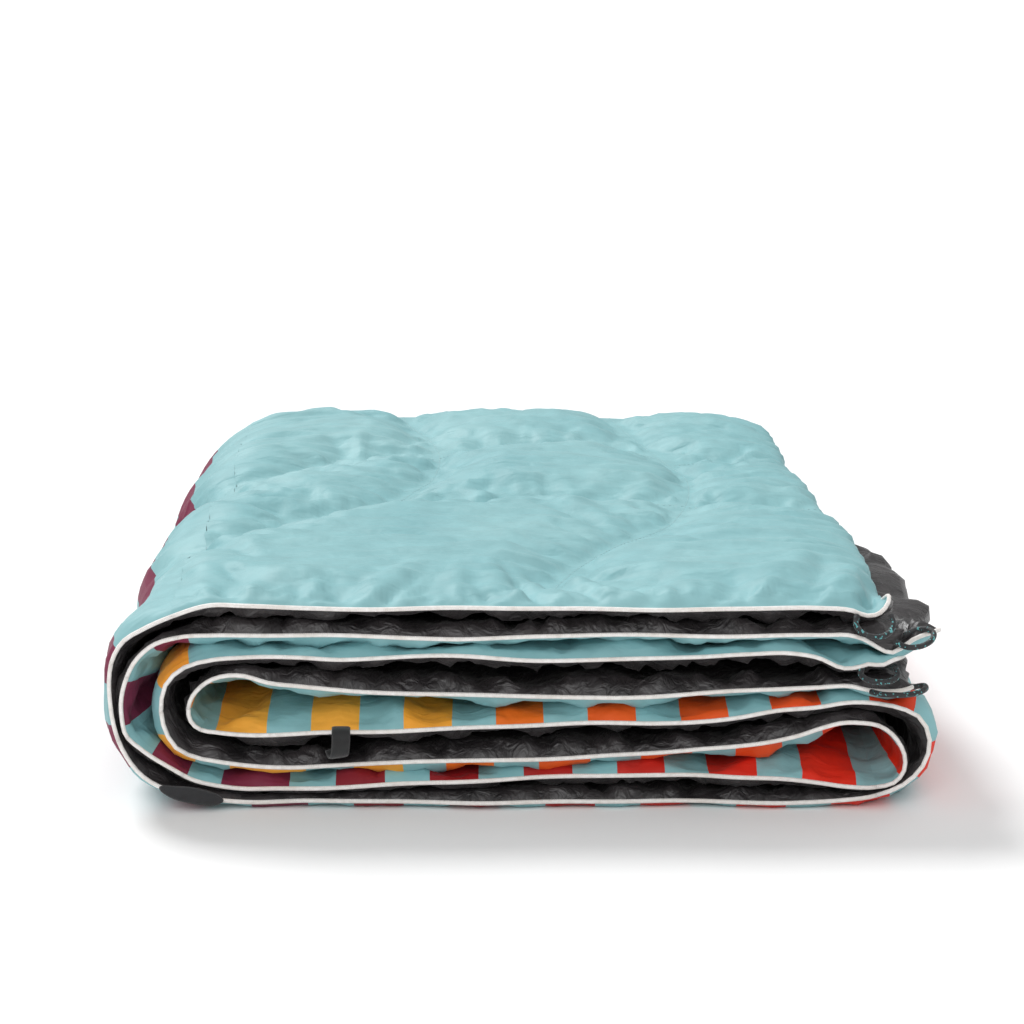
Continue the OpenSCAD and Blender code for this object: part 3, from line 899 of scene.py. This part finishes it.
def face_relief(u, t, flat):
    """How far the face cloth stands out from its even loft."""
    seams, seam_place = nearest_seam(flat, SEAMS)
    from_hem = hem_distance(flat[..., 1])
    upper = flat[..., 1] < CLOTH_WIDTH / 2
    free = free_side(u, t)
    body = smooth(from_hem / BODY_START)
    on_top = np.where(upper, 1 - smooth((u - TOP_END) / TOP_FADE), 0)
    from_back = np.abs(flat[..., 1] - CLOTH_WIDTH / 2)
    on_back = (1 - smooth((from_back - 0.035) / 0.02)) * (1 - on_top)
    on_top = on_top * smooth((from_back - 0.008) / 0.02)
    on_fold = (1 - on_top) * (1 - on_back) * free
    panels = TOP_PATCH.at(flat) * on_top + BACK_PATCH.at(flat) * on_back + FOLD_PATCH.at(flat) * on_fold
    loose = np.clip(on_top + on_back + on_fold, 0, 1)
    panels = panels - PANEL_SINK * body * loose
    dent = (SEAM_DENT * free + HIDDEN_DENT * (1 - free)) * np.exp(-seams / SEAM_WIDTH) * body
    mirrored = np.stack([flat[..., 0], from_hem], axis=-1)
    wrinkles = HEM_STRIP.at(mirrored) * (1 - on_top) * (1 - smooth((from_hem - 0.03) / 0.04))
    on_side = smooth((u - OUTER) / 0.15)
    panels = panels * (1 - 0.5 * on_side * on_top * (1 - smooth((from_hem - 0.02) / 0.08)))
    # The folds' crests point inwards: sharp creases with round puffs between them
    depth = TOP_GATHER * on_top * (1 - 0.7 * on_side) + HEM_GATHER * (1 - on_top)
    folds = -gathers(flat, GATHER_REACH) * depth
    long_folds = crests(ripple(flat * [0.22, 1], 0.022, 31, 2)) * LONG_FOLD * on_top * body
    drawn = puckers(seams, seam_place) * PUCKER * loose * body
    return panels - dent + HEM_WRINKLE_SHARE * wrinkles + folds + drawn - long_folds


def lining_relief(u, t, flat):
    from_hem, from_end = hem_distance(flat[..., 1]), end_distance(flat[..., 0])
    other_hem = flat[..., 1] > CLOTH_WIDTH / 2
    along = np.where(other_hem, CLOTH_LENGTH - flat[..., 0], flat[..., 0])
    mirrored = np.stack([along, from_hem], axis=-1)
    folds = LINING_STRIP.at(mirrored) * (1 - smooth((from_hem - 0.02) / 0.04))
    ends = crests(ripple(flat * [1.0, 0.8], 0.030, 23, 2)) * CRUMPLE * np.exp(-((from_end / 0.06) ** 2))
    ridges = gathers(flat * [1.6, 1] + [0.37, 0], LINING_GATHER_REACH, 1.0) * LINING_GATHER
    return HEM_WRINKLE_SHARE * folds + ridges + ends * smooth(from_hem / 0.01) * smooth(from_end / 0.006)


BARS_BEFORE, BARS_AFTER = 6.0, 3.0  # bars for each station, before the first known bar and after the last
BARS_HOLD = 0.2  # from the hems, where a hem's own bars begin to run over to the other hem's


def bar_number(u, t):
    """Counts the printed bars along the cloth; the two sheets' bars run into each other far from the hems."""
    numbers = np.arange(len(BARS_ONE))
    found = []
    for bars, edges in ((BARS_ONE, EDGES_ONE), (BARS_TWO, EDGES_TWO)):
        known = np.array(sorted([*zip(bars, numbers), *edges]))
        before = numbers[0] - (bars[0] - u) * BARS_BEFORE
        after = known[-1, 1] + (u - known[-1, 0]) * BARS_AFTER
        inside = np.interp(u, known[:, 0], known[:, 1])
        found.append(np.where(u < bars[0], before, np.where(u > known[-1, 0], after, inside)))
    share = smooth((t - BARS_HOLD) / (CLOTH_WIDTH - 2 * BARS_HOLD))
    return found[0] * (1 - share) + found[1] * share


# ===== Pieces along the cloth: each spans one hinge of the folds, or stays with the lower layers =====


def outer_station(angle):
    """Station on the outer fold at an angle, in degrees from below its axis."""
    return OUTER + 1 - angle / 180


def inner_station(angle):
    return INNER + angle / 180


# Pieces along the cloth: stations of both ends, the bodies before and after its hinge, the hinge's station,
# and the ends of the CAD nodes' names that the piece stands for
Span = namedtuple("Span", "first last body next_body hinge nodes")
SPANS = {
    "top_run": Span(
        0, outer_station(157.5), "top_layer", "outer_fold_4", outer_station(180),
        ["top_run", "outer_fold_4"]),
    "outer_fold_upper": Span(
        outer_station(157.5), outer_station(112.5), "outer_fold_4", "outer_fold_3", outer_station(135),
        ["outer_fold_3"]),
    "outer_fold_side": Span(
        outer_station(112.5), outer_station(67.5), "outer_fold_3", "outer_fold_2", outer_station(90),
        ["outer_fold_2"]),
    "outer_fold_lower": Span(
        outer_station(67.5), outer_station(22.5), "outer_fold_2", "outer_fold_1", outer_station(45),
        ["outer_fold_1"]),
    "bottom_run": Span(
        outer_station(22.5), RIGHT, "outer_fold_1", "lower_layers", outer_station(0), ["bottom_run"]),
    "right_fold": Span(RIGHT, SECOND, "lower_layers", None, None, ["right_fold"]),
    "second_run": Span(
        SECOND, inner_station(30), "lower_layers", "inner_fold_1", inner_station(0), ["second_run"]),
    "inner_fold_lower": Span(
        inner_station(30), inner_station(90), "inner_fold_1", "inner_fold_2", inner_station(60),
        ["inner_fold_1"]),
    "inner_fold_upper": Span(
        inner_station(90), inner_station(150), "inner_fold_2", "inner_fold_3", inner_station(120),
        ["inner_fold_2"]),
    "third_run": Span(
        inner_station(150), 7, "inner_fold_3", "third_layer", inner_station(180),
        ["third_run", "inner_fold_3"]),
}


def put_on_body(piece, span):
    span = SPANS[span]
    if span.next_body is None:
        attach(piece, span.body)
        return
    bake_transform(piece)


def stand_for(piece, kind, span):
    """Stands a piece in place of its CAD nodes, which are hidden; a piece with one body is put on it."""
    put_on_body(piece, span)
    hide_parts(*[f"{kind}_{end}" for end in SPANS[span].nodes])


def stations_between(first, last, spacing):
    """Stations from first to last, with every change of stretch among them."""
    s_first, s_last = along_cloth(np.array([first, last - 1e-9]))
    marks = [s_first, *[s for s in STRETCH_STARTS if s_first + 1e-6 < s < s_last - 1e-6], s_last]
    out = [marks[0]]
    for a, b in zip(marks[:-1], marks[1:]):
        steps = max(2, math.ceil((b - a) / spacing))
        out.extend(np.linspace(a, b, steps + 1)[1:])
    return np.clip(station(np.array(out)), first, last)


def graded(stops):
    """Distances whose spacing changes at each stop: (distance, spacing from there on)."""
    out = [stops[0][0]]
    for (start, spacing), (end, _) in zip(stops[:-1], stops[1:]):
        steps = max(1, round((end - start) / spacing))
        out.extend(np.linspace(start, end, steps + 1)[1:])
    return np.array(out)


def across_stations(fine_upper, fine, coarse):
    """Distances across the cloth: fine at the hems and the back bend, coarse where layers hide it."""
    inner = fine_upper if fine_upper else coarse
    half = SHEET_DEPTH - 0.02
    upper = graded([(0, fine * 0.5), (0.02, fine), (0.085, inner), (half, 0.006), (SHEET_DEPTH, 0)])
    lower = graded([(0, fine * 0.5), (0.02, fine), (0.085, coarse), (half, 0.006), (SHEET_DEPTH, 0)])
    bend = np.linspace(SHEET_DEPTH, SHEET_DEPTH + BEND_LENGTH, 8)[1:-1]
    return np.concatenate([upper, bend, (CLOTH_WIDTH - lower)[::-1]])


def grid_faces(rows, columns, flip=False, start=0):
    i, j = np.meshgrid(np.arange(rows - 1), np.arange(columns - 1), indexing="ij")
    a = (i * columns + j).ravel() + start
    quads = np.stack([a, a + 1, a + columns + 1, a + columns], axis=1)
    return quads[:, ::-1] if flip else quads


def closed_slab(front, back):
    """Points and faces of a closed body between two grids of points."""
    rows, columns = front.shape[:2]
    count = rows * columns
    rim = np.concatenate([
        np.arange(columns), np.arange(1, rows) * columns + columns - 1,
        (rows - 1) * columns + np.arange(columns - 2, -1, -1), np.arange(rows - 2, 0, -1) * columns,
    ])
    after = np.roll(rim, -1)
    walls = np.stack([rim, rim + count, after + count, after], axis=1)
    faces = np.concatenate([grid_faces(rows, columns), grid_faces(rows, columns, True, count), walls])
    return np.concatenate([front.reshape(-1, 3), back.reshape(-1, 3)]), faces


def make_mesh(name, points, faces, flat, material):
    mesh = bpy.data.meshes.new(name)
    mesh.from_pydata(points.reshape(-1, 3).tolist(), [], [list(map(int, f)) for f in faces])
    mesh.materials.append(material)
    stored = mesh.attributes.new("flat", "FLOAT_VECTOR", "POINT")
    stored.data.foreach_set("vector", flat.reshape(-1, 3).astype(np.float32).ravel())
    mesh.polygons.foreach_set("use_smooth", [True] * len(mesh.polygons))
    mesh.update()
    piece = bpy.data.objects.new(name, mesh)
    scene.collection.objects.link(piece)
    return piece


def flat_places(u, t):
    """Flat place (along, across) of grid points, after the corners are rounded."""
    u, t = round_corners(u, t)
    return np.stack([along_cloth(u), t], axis=-1)


FLOOR_CLEARANCE = 0.0004
LINING_CLEARANCE = 0.0005  # between a lining and the middle between both linings


def cloth_points(u, t, relief, towards):
    """Points of the face cloth (towards 1) or the lining (towards -1)."""
    flat = flat_places(u, t)
    middle = sheet_middle(u, t)
    if towards > 0:
        stand = np.maximum(loft(u, t) + relief(u, t, flat), EDGE_HALF)
    else:
        apart = np.linalg.norm(middle - sheet_middle(u, CLOTH_WIDTH - t), axis=-1)
        stand = loft(u, t, LINING_RISE) - hollow(t) + relief(u, t, flat)
        stand = np.clip(stand, EDGE_HALF / 2, np.maximum(apart / 2 - LINING_CLEARANCE, EDGE_HALF / 2))
    points = middle + towards * outward(u, t) * stand[..., None]
    return points, flat


def cloth_piece(kind, span, spacing, across, relief, towards, material):
    first, last = SPANS[span][:2]
    u, t = np.meshgrid(stations_between(first, last, spacing), across, indexing="ij")
    points, flat = cloth_points(u, t, relief, towards)
    points[..., 2] = np.maximum(points[..., 2], FLOOR_CLEARANCE)
    flat3 = np.concatenate([flat, bar_number(u, t)[..., None]], axis=-1)
    faces = grid_faces(*u.shape, flip=towards < 0)
    piece = make_mesh(f"{kind}_{span}_cloth", points, faces, flat3, material)
    stand_for(piece, kind, span)


PAD_START = 0.045  # from the hems
PAD_END = 0.03  # from the free ends, as a share of a run
PAD_CLEARANCE = 0.0015  # from the middle between both sheets
PAD_EDGE = 0.0001, 0.0002  # what is left of its thickness towards the face cloth and the lining
PAD_THIN, PAD_RISE = 0.09, 0.05  # from the hems: where it starts to thicken, and over what distance


def insulation_piece(span):
    """The fill between a face cloth and its lining, as one closed pad."""
    first, last = SPANS[span][:2]
    across = graded([
        (PAD_START, 0.014), (0.12, 0.04), (SHEET_DEPTH, 0.006), (SHEET_DEPTH + BEND_LENGTH, 0.04),
        (CLOTH_WIDTH - 0.12, 0.014), (CLOTH_WIDTH - PAD_START, 0),
    ])
    inner = first + (PAD_END if first == 0 else 0), last - (PAD_END if last == 7 else 0)
    spacing = 0.010 if "run" in span else 0.0045
    u, t = np.meshgrid(stations_between(*inner, spacing), across, indexing="ij")
    middle, normal = sheet_middle(u, t), outward(u, t)
    apart = np.linalg.norm(middle - sheet_middle(u, CLOTH_WIDTH - t), axis=-1)
    room = np.minimum(loft(u, t) * 0.4, apart / 2 - PAD_CLEARANCE)
    room = room * smooth((hem_distance(t) - PAD_THIN) / PAD_RISE)
    up, down = PAD_EDGE[0], (PAD_EDGE[1] + np.maximum(room, 0))[..., None]
    flat = flat_places(u, t)
    flat3 = np.concatenate([flat, np.zeros_like(flat[..., :1])], axis=-1)
    points, faces = closed_slab(middle + normal * up, middle - normal * down)
    piece = make_mesh(f"insulation_{span}_pad", points, faces, np.concatenate([flat3, flat3]), INSULATION)
    stand_for(piece, "insulation", span)


def tube(line, radius, sides=8):
    """Points and faces of a tube along a line, and its flat coordinates."""
    tangent = unit(np.gradient(line, axis=0))
    side = unit(np.cross(tangent, [0.31, 0.12, 0.94]))
    for i in range(1, len(side)):
        side[i] = unit(side[i - 1] - tangent[i] * (side[i - 1] @ tangent[i]))
    other = np.cross(tangent, side)
    angle = np.arange(sides) / sides * 2 * math.pi
    around = np.cos(angle)[None, :, None] * side[:, None] + np.sin(angle)[None, :, None] * other[:, None]
    points = line[:, None] + radius * around
    i, j = np.meshgrid(np.arange(len(line) - 1), np.arange(sides), indexing="ij")
    a, b = (i * sides + j).ravel(), (i * sides + (j + 1) % sides).ravel()
    faces = [list(f) for f in np.stack([a, b, b + sides, a + sides], axis=1)]
    last = (len(line) - 1) * sides
    faces += [list(range(sides))[::-1], list(range(last, last + sides))]
    flat = np.stack(np.broadcast_arrays(distances(line)[:, None], angle * radius, 0.0), axis=-1)
    return points.reshape(-1, 3), faces, flat.reshape(-1, 3)


def tubes(lines, radius, sides=8):
    """Points, faces and flat coordinates of several tubes together."""
    points, faces, flats = [], [], []
    start = 0
    for line in lines:
        p, f, flat = tube(line, radius, sides)
        points.append(p)
        flats.append(flat)
        faces += [[i + start for i in face] for face in f]
        start += len(p)
    return np.concatenate(points), faces, np.concatenate(flats)


PIPING_STEP = 0.005


def hem_path(first, last, t):
    """Points along one hem."""
    u = stations_between(first, last, PIPING_STEP)
    return sheet_middle(u, np.full_like(u, t))


def end_path(u_end):
    """Points along a free end, from hem one to hem two."""
    t = graded([(0, 0.0025), (0.02, 0.008), (SHEET_DEPTH, 0.003), (SHEET_DEPTH + BEND_LENGTH, 0.008),
                (CLOTH_WIDTH - 0.02, 0.0025), (CLOTH_WIDTH, 0)])
    return sheet_middle(np.full_like(t, float(u_end)), t)


def piping_piece(span):
    first, last = SPANS[span][:2]
    one, two = hem_path(first, last, 0.0), hem_path(first, last, CLOTH_WIDTH)
    if first == 0:
        lines = [np.concatenate([one[::-1], end_path(0)[1:-1], two])]
    elif last == 7:
        lines = [np.concatenate([one, end_path(7)[1:-1], two[::-1]])]
    else:
        lines = [one, two]
    piece = make_mesh(f"piping_{span}_edge", *tubes(lines, PIPING_R), PIPING)
    stand_for(piece, "piping", span)


# Patches: name, low and high corner, cell size, seams, pressure and excess cloth as a share
STRIP = 0.085
PATCH_DEPTH = SHEET_DEPTH + 0.01
PANEL_REACH = 0.012
FOLD_START, FOLD_END = STRETCH_STARTS[RIGHT] - 0.05, STRETCH_STARTS[SECOND] + 0.05
BACK_LOW, BACK_HIGH = CLOTH_WIDTH / 2 - 0.055, CLOTH_WIDTH / 2 + 0.055
TOP_PATCH = Settled(
    "top_patch", (0, 0), (STRETCH_STARTS[BOTTOM], PATCH_DEPTH), 0.004, SEAMS[:len(TOP_SEAMS)], 6.0, 0.04)
FOLD_PATCH = Settled("fold_patch", (FOLD_START, 0), (FOLD_END, PATCH_DEPTH), 0.005, SEAMS, 6.0, 0.04)
BACK_PATCH = Settled("back_patch", (0, BACK_LOW), (CLOTH_LENGTH, BACK_HIGH), 0.005, SEAMS, 6.0, 0.03)
for patch in (TOP_PATCH, FOLD_PATCH, BACK_PATCH):
    patch.flattened(PANEL_REACH)
HEM_STRIP = Settled("hem_strip", (0, 0), (CLOTH_LENGTH, STRIP), 0.005, SEAMS, 3.0, 0.060).even()
LINING_STRIP = Settled("lining_strip", (0, 0), (CLOTH_LENGTH, STRIP), 0.004, [], 1.0, 0.090).even()

FINE, COARSE, LINING_STEP = 0.005, 0.045, 0.0042
FLAP_STEP = 0.007  # where the lower sheet shows beside the top
SPAN_GRIDS = {  # spacing along, and across on the upper sheet where it shows
    "top_run": (0.0034, 0.0036), "outer_fold_upper": (0.005, 0.009), "outer_fold_side": (0.005, 0.009),
    "outer_fold_lower": (0.005, 0.009), "bottom_run": (0.006, None), "right_fold": (0.004, 0.012),
    "second_run": (0.006, None), "inner_fold_lower": (0.003, None), "inner_fold_upper": (0.003, None),
    "third_run": (0.006, None),
}
for span, (spacing, fine_upper) in SPAN_GRIDS.items():
    coarse = FLAP_STEP if span == "top_run" else COARSE
    across = across_stations(fine_upper, min(FINE, fine_upper or FINE), coarse)
    cloth_piece("face_shell", span, spacing, across, face_relief, 1, FACE)
    across = across_stations(None, FINE, coarse)
    spacing = min(spacing * 1.1, LINING_STEP)
    cloth_piece("lining", span, spacing, across, lining_relief, -1, LINING)
    insulation_piece(span)
    piping_piece(span)

# ===== Small parts: webbing tab, woven label, quilting stitches =====


def ribbon(name, line, across, half_widths, thickness, material):
    """A closed strip along a line; across is its width's direction at each point, in unit vectors."""
    normal = unit(np.cross(unit(np.gradient(line, axis=0)), across))
    shares = np.linspace(-1, 1, 9)
    widths = shares[None] * half_widths[:, None]
    rim = 1 - 0.65 * np.abs(shares) ** 6
    rows = line[:, None] + across[:, None] * widths[..., None]
    lift = normal[:, None] * (rim[None, :, None] * thickness / 2)
    points, faces = closed_slab(rows + lift, rows - lift)
    flat = np.stack(np.broadcast_arrays(distances(line)[:, None], widths, 0.0), axis=-1)
    return make_mesh(name, points, faces, np.concatenate([flat.reshape(-1, 3)] * 2), material)


TAB_WIDTH = 0.0115
TAB_THICKNESS = 0.0014


def webbing_tab():
    """The tab hangs over the piping, and its end is folded back behind it."""
    low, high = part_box("webbing_tab")
    x = (low.x + high.x) / 2
    z = float(hem_point(HEMS[0], SECOND + (RIGHT_X - x) / (RIGHT_X - LEFT_X))[1])
    route = np.array([
        (x, HEM_Y + 0.0055, z - 0.0005), (x, HEM_Y + 0.0012, z + 0.0026), (x, HEM_Y - 0.0022, z + 0.0010),
        (x, HEM_Y - 0.0031, z - 0.0040), (x - 0.0004, HEM_Y - 0.0033, z - 0.0100),
        (x - 0.0012, HEM_Y - 0.0026, z - 0.0148), (x - 0.0026, HEM_Y + 0.0004, z - 0.0166),
        (x - 0.0040, HEM_Y + 0.0034, z - 0.0150), (x - 0.0050, HEM_Y + 0.0042, z - 0.0120),
    ])
    line = rounded_route(route, 34)
    across = np.tile([1.0, 0.0, 0.0], (len(line), 1))
    turn = np.linspace(0, 1, len(line))[:, None] ** 3
    across = unit(across * (1 - 0.25 * turn) + turn * [0, 0.12, 0.22])
    widths = np.full(len(line), TAB_WIDTH / 2)
    material = ribbed_material("webbing", "0b0b0c", "18181a", 0.0013)
    tab = ribbon("webbing_tab_strap", line, across, widths, TAB_THICKNESS, material)
    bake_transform(tab)
    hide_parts("webbing_tab")


LABEL_HEIGHT = 0.0088
LABEL_THICKNESS = 0.0010
LABEL_FORWARD = 0.0022  # it stands in front of the hem
LABEL_ANGLE, LABEL_REACH = 32, 0.012  # from this angle on the fold to this share of the bottom run


def woven_label():
    """A blank label in front of the lowest hem, widest in its middle."""
    first, last = outer_station(LABEL_ANGLE), BOTTOM + LABEL_REACH
    u = stations_between(first, last, 0.0016)
    path = sheet_middle(u, np.zeros_like(u))
    share = np.linspace(0, 1, len(u))
    bulge = np.sin(share * math.pi) ** 0.62
    line = path + np.stack([0 * u, np.full_like(u, -LABEL_FORWARD), 0.0004 + 0.0006 * bulge], axis=-1)
    up = np.cross([0.0, 1.0, 0.0], unit(np.gradient(line, axis=0)))
    up = unit(up * np.sign(up[:, 2:3]) + [0, 0.35, 0])
    widths = 0.0007 + LABEL_HEIGHT / 2 * bulge
    material = ribbed_material("woven_label", "1b1b1e", "2c2c30", 0.0009)
    label = ribbon("woven_label_tape", line, up, widths, LABEL_THICKNESS, material)
    put_on_body(label, "bottom_run")
    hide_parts("woven_label")


STITCH_PITCH = 0.0045
STITCH_LENGTH = 0.0022
STITCH_R = 0.00024


def quilting_stitches():
    """Short stitches along the quilting lines of the top layer, each a thin arched tube."""
    lines = []
    limit = float(along_cloth(np.array(outer_station(150))))
    for seam in SEAMS[:len(TOP_SEAMS)]:
        stations = distances(seam)
        for middle in np.arange(STITCH_PITCH, stations[-1], STITCH_PITCH):
            at = middle + np.linspace(-0.5, 0.5, 4) * STITCH_LENGTH
            flat = through(stations, seam, np.clip(at, 0, stations[-1]))
            if flat[:, 0].max() > limit or flat[:, 0].min() < 0.004:
                continue
            u, t = station(flat[:, 0]), flat[:, 1]
            surface, _ = cloth_points(u, t, face_relief, 1)
            arch = STITCH_R * np.array([-0.9, 0.8, 0.8, -0.9])
            lines.append(surface + outward(u, t) * arch[:, None])
    stitches = make_mesh("quilting_thread_stitches", *tubes(lines, STITCH_R, 4), thread_material())
    put_on_body(stitches, "top_run")
    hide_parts("quilting_thread")


webbing_tab()
woven_label()
quilting_stitches()

# ===== Floor, light and world =====


def stage_floor():
    n = Nodes("floor_paint")
    grain = n.bump(n.noise(n.place(), 900), 0.01, 0.0001)
    n.finish(srgb("f7f7f7"), 0.95, grain, Specular_IOR_Level=0.1)
    mesh = bpy.data.meshes.new("floor")
    side = 30
    corners = [(-side, -side, 0), (side, -side, 0), (side, side, 0), (-side, side, 0)]
    mesh.from_pydata(corners, [], [(0, 1, 2, 3)])
    mesh.materials.append(n.material)
    floor = bpy.data.objects.new("floor", mesh)
    scene.collection.objects.link(floor)


def soft_sun(name, heading, height, angle, strength):
    """An even, soft light from far away; heading and height in degrees."""
    data = bpy.data.lights.new(name, "SUN")
    data.angle = math.radians(angle)
    data.energy = strength
    light = bpy.data.objects.new(name, data)
    a, h = math.radians(heading), math.radians(height)
    towards = Vector((math.cos(a) * math.cos(h), math.sin(a) * math.cos(h), math.sin(h)))
    light.rotation_euler = towards.to_track_quat("Z", "Y").to_euler()
    scene.collection.objects.link(light)


stage_floor()
soft_sun("key", 126, 47, 22, 2.30)
soft_sun("fill", 30, 60, 40, 0.40)
soft_sun("front", -98, 36, 40, 1.05)
world = bpy.data.worlds.new("studio")
world.use_nodes = True
background = world.node_tree.nodes["Background"]
background.inputs["Color"].default_value = (1, 1, 1, 1)
background.inputs["Strength"].default_value = 0.44
scene.world = world
scene.view_settings.view_transform = "Standard"
